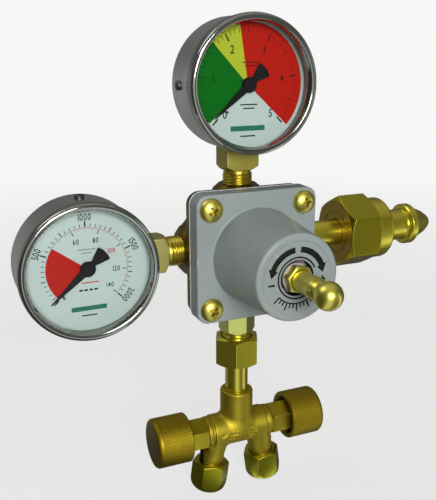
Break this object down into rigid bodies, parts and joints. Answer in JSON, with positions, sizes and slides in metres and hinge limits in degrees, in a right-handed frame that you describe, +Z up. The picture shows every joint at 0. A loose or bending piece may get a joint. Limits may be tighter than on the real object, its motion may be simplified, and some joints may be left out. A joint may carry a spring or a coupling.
{
  "type": "gas pressure regulator",
  "caption": "Gas pressure regulator with round dial gauges, a square spring bonnet with a ball-ended adjusting spindle, a nut-and-nipple inlet and a valved outlet manifold.",
  "frame": {"origin": "on the inlet nipple's axis, in the middle of its collar, where the regulator hangs on the supply valve", "axes": "+X along the inlet nipple, out of its nose; +Z up; -Y is the front, with the dials and the adjusting spindle"},
  "size_m": [0.2024, 0.0996, 0.2182],
  "materials": {
    "body_brass": "raw forged brass, dark brown tone",
    "bright_brass": "turned and polished, olive gold",
    "manifold_brass": "cast and tumbled, satin olive",
    "knob_brass": "fine-knurled, matte",
    "bonnet_paint": "satin grey enamel",
    "gauge_chrome": "plated steel, polished",
    "gauge_glass": "clear flat lens",
    "dial_plate": "printed enamel, semi-matte",
    "pointer_black": "matte black",
    "movement_brass": "stamped, bright",
    "steel": "machined",
    "bush_metal": "sintered, pinkish grey",
    "rubber": "moulded"
  },
  "bodies": {
    "body": {"regulator_body": "body_brass", "bonnet": "bonnet_paint", "bonnet_screws": "bright_brass", "diaphragm": "rubber", "valve_seat": "bright_brass", "poppet_spring": "steel", "valve_plug": "bright_brass", "adjusting_spring": "steel", "adjuster_bush": "bush_metal", "inlet_nipple": "bright_brass", "inlet_filter": "movement_brass", "outlet_nipple": "bright_brass", "gauge_screws": "steel", "hairsprings": "steel", "low_case": "gauge_chrome", "low_bezel": "gauge_chrome", "low_window": "gauge_glass", "low_dial": "dial_plate", "low_socket": "bright_brass", "low_bourdon": "movement_brass", "low_movement": "movement_brass", "high_case": "gauge_chrome", "high_bezel": "gauge_chrome", "high_window": "gauge_glass", "high_dial": "dial_plate", "high_socket": "bright_brass", "high_bourdon": "movement_brass", "high_movement": "movement_brass"},
    "spring_button": {"spring_button": "steel"},
    "adjusting_screw": {"adjusting_screw": "bright_brass"},
    "lock_nut": {"lock_nut": "bright_brass"},
    "valve_train": {"diaphragm_plate": "steel", "valve_pin": "bright_brass", "poppet": "bright_brass"},
    "nut_carrier": {"thrust_washer": "steel"},
    "inlet_nut": {"inlet_nut": "bright_brass"},
    "union_nut": {"union_nut": "bright_brass"},
    "manifold": {"tailpiece": "bright_brass", "manifold_body": "manifold_brass", "gland_left": "manifold_brass", "gland_right": "manifold_brass", "stem_orings": "rubber", "ferrules": "bright_brass"},
    "left_seat": {"seat_disc_left": "rubber"},
    "left_valve": {"stem_left": "steel", "knob_left": "knob_brass"},
    "right_seat": {"seat_disc_right": "rubber"},
    "right_valve": {"stem_right": "steel", "knob_right": "knob_brass"},
    "left_outlet_nut": {"outlet_nut_left": "bright_brass"},
    "right_outlet_nut": {"outlet_nut_right": "bright_brass"},
    "low_sector": {"low_sector": "movement_brass"},
    "low_pointer": {"low_pointer": "pointer_black", "low_arbor": "movement_brass"},
    "low_link": {"low_link": "movement_brass"},
    "high_sector": {"high_sector": "movement_brass"},
    "high_pointer": {"high_pointer": "pointer_black", "high_arbor": "movement_brass"},
    "high_link": {"high_link": "movement_brass"}
  },
  "joints": [
    {"name": "button_slide", "type": "slide", "parent": "body", "child": "spring_button", "axis": [0, 1, 0], "range_m": [0, 0.006], "deforming": ["adjusting_spring"]},
    {"name": "adjuster_turn", "type": "hinge", "parent": "spring_button", "child": "adjusting_screw", "pos_m": [-0.091, -0.06, 0], "axis": [0, 1, 0], "range_deg": [0, 2160]},
    {"name": "lock_nut_spin", "type": "hinge", "parent": "body", "child": "lock_nut", "pos_m": [-0.091, -0.0558, 0], "axis": [0, 1, 0], "continuous": true},
    {"name": "valve_lift", "type": "slide", "parent": "body", "child": "valve_train", "axis": [0, 1, 0], "range_m": [0, 0.0008], "stiffness_N_per_m": 2000, "deforming": ["diaphragm", "poppet_spring"]},
    {"name": "inlet_nut_slide", "type": "slide", "parent": "body", "child": "nut_carrier", "axis": [1, 0, 0], "range_m": [-0.0233, 0.0132]},
    {"name": "inlet_nut_spin", "type": "hinge", "parent": "nut_carrier", "child": "inlet_nut", "pos_m": [-0.033, 0, 0], "axis": [1, 0, 0], "continuous": true},
    {"name": "union_nut_spin", "type": "hinge", "parent": "body", "child": "union_nut", "pos_m": [-0.091, 0, -0.05], "axis": [0, 0, 1], "continuous": true},
    {"name": "manifold_swivel", "type": "hinge", "parent": "body", "child": "manifold", "pos_m": [-0.091, 0, -0.053], "axis": [0, 0, 1], "range_deg": [-180, 180]},
    {"name": "left_seat_slide", "type": "slide", "parent": "manifold", "child": "left_seat", "axis": [-1, 0, 0], "range_m": [0, 0.002]},
    {"name": "left_knob_turn", "type": "hinge", "parent": "left_seat", "child": "left_valve", "pos_m": [-0.111, 0, -0.091], "axis": [-1, 0, 0], "range_deg": [0, 720]},
    {"name": "right_seat_slide", "type": "slide", "parent": "manifold", "child": "right_seat", "axis": [1, 0, 0], "range_m": [0, 0.002]},
    {"name": "right_knob_turn", "type": "hinge", "parent": "right_seat", "child": "right_valve", "pos_m": [-0.071, 0, -0.091], "axis": [1, 0, 0], "range_deg": [0, 720]},
    {"name": "left_outlet_nut_spin", "type": "hinge", "parent": "manifold", "child": "left_outlet_nut", "pos_m": [-0.10478, 0, -0.11081], "axis": [-0.1392, 0, -0.9903], "continuous": true},
    {"name": "right_outlet_nut_spin", "type": "hinge", "parent": "manifold", "child": "right_outlet_nut", "pos_m": [-0.07722, 0, -0.11081], "axis": [0.1392, 0, -0.9903], "continuous": true},
    {"name": "low_sector_turn", "type": "hinge", "parent": "body", "child": "low_sector", "pos_m": [-0.08621, -0.0052, 0.05624], "axis": [0, 1, 0], "range_deg": [-45, 0], "stiffness_Nm_per_rad": 0.01, "deforming": ["hairsprings"]},
    {"name": "low_pointer_turn", "type": "hinge", "parent": "body", "child": "low_pointer", "pos_m": [-0.091, -0.006, 0.0694], "axis": [0, 1, 0], "range_deg": [0, 270]},
    {"name": "low_link_turn", "type": "hinge", "parent": "low_sector", "child": "low_link", "pos_m": [-0.08492, -0.0062, 0.05141], "axis": [0, 1, 0], "range_deg": [0, 45]},
    {"name": "high_sector_turn", "type": "hinge", "parent": "body", "child": "high_sector", "pos_m": [-0.14784, -0.0052, 0.00479], "axis": [0, 1, 0], "range_deg": [-45, 0], "stiffness_Nm_per_rad": 0.01},
    {"name": "high_pointer_turn", "type": "hinge", "parent": "body", "child": "high_pointer", "pos_m": [-0.161, -0.006, 0], "axis": [0, 1, 0], "range_deg": [0, 270]},
    {"name": "high_link_turn", "type": "hinge", "parent": "high_sector", "child": "high_link", "pos_m": [-0.14301, -0.0062, 0.00608], "axis": [0, 1, 0], "range_deg": [0, 45]}
  ],
  "couplings": [
    {"joint": "adjuster_turn", "follows": "button_slide", "rad_per_m": 6283.2},
    {"joint": "left_knob_turn", "follows": "left_seat_slide", "rad_per_m": 6283.2},
    {"joint": "right_knob_turn", "follows": "right_seat_slide", "rad_per_m": 6283.2},
    {"joint": "low_pointer_turn", "follows": "low_sector_turn", "ratio": -6},
    {"joint": "low_link_turn", "follows": "low_sector_turn", "ratio": -1},
    {"joint": "high_pointer_turn", "follows": "high_sector_turn", "ratio": -6},
    {"joint": "high_link_turn", "follows": "high_sector_turn", "ratio": -1}
  ]
}
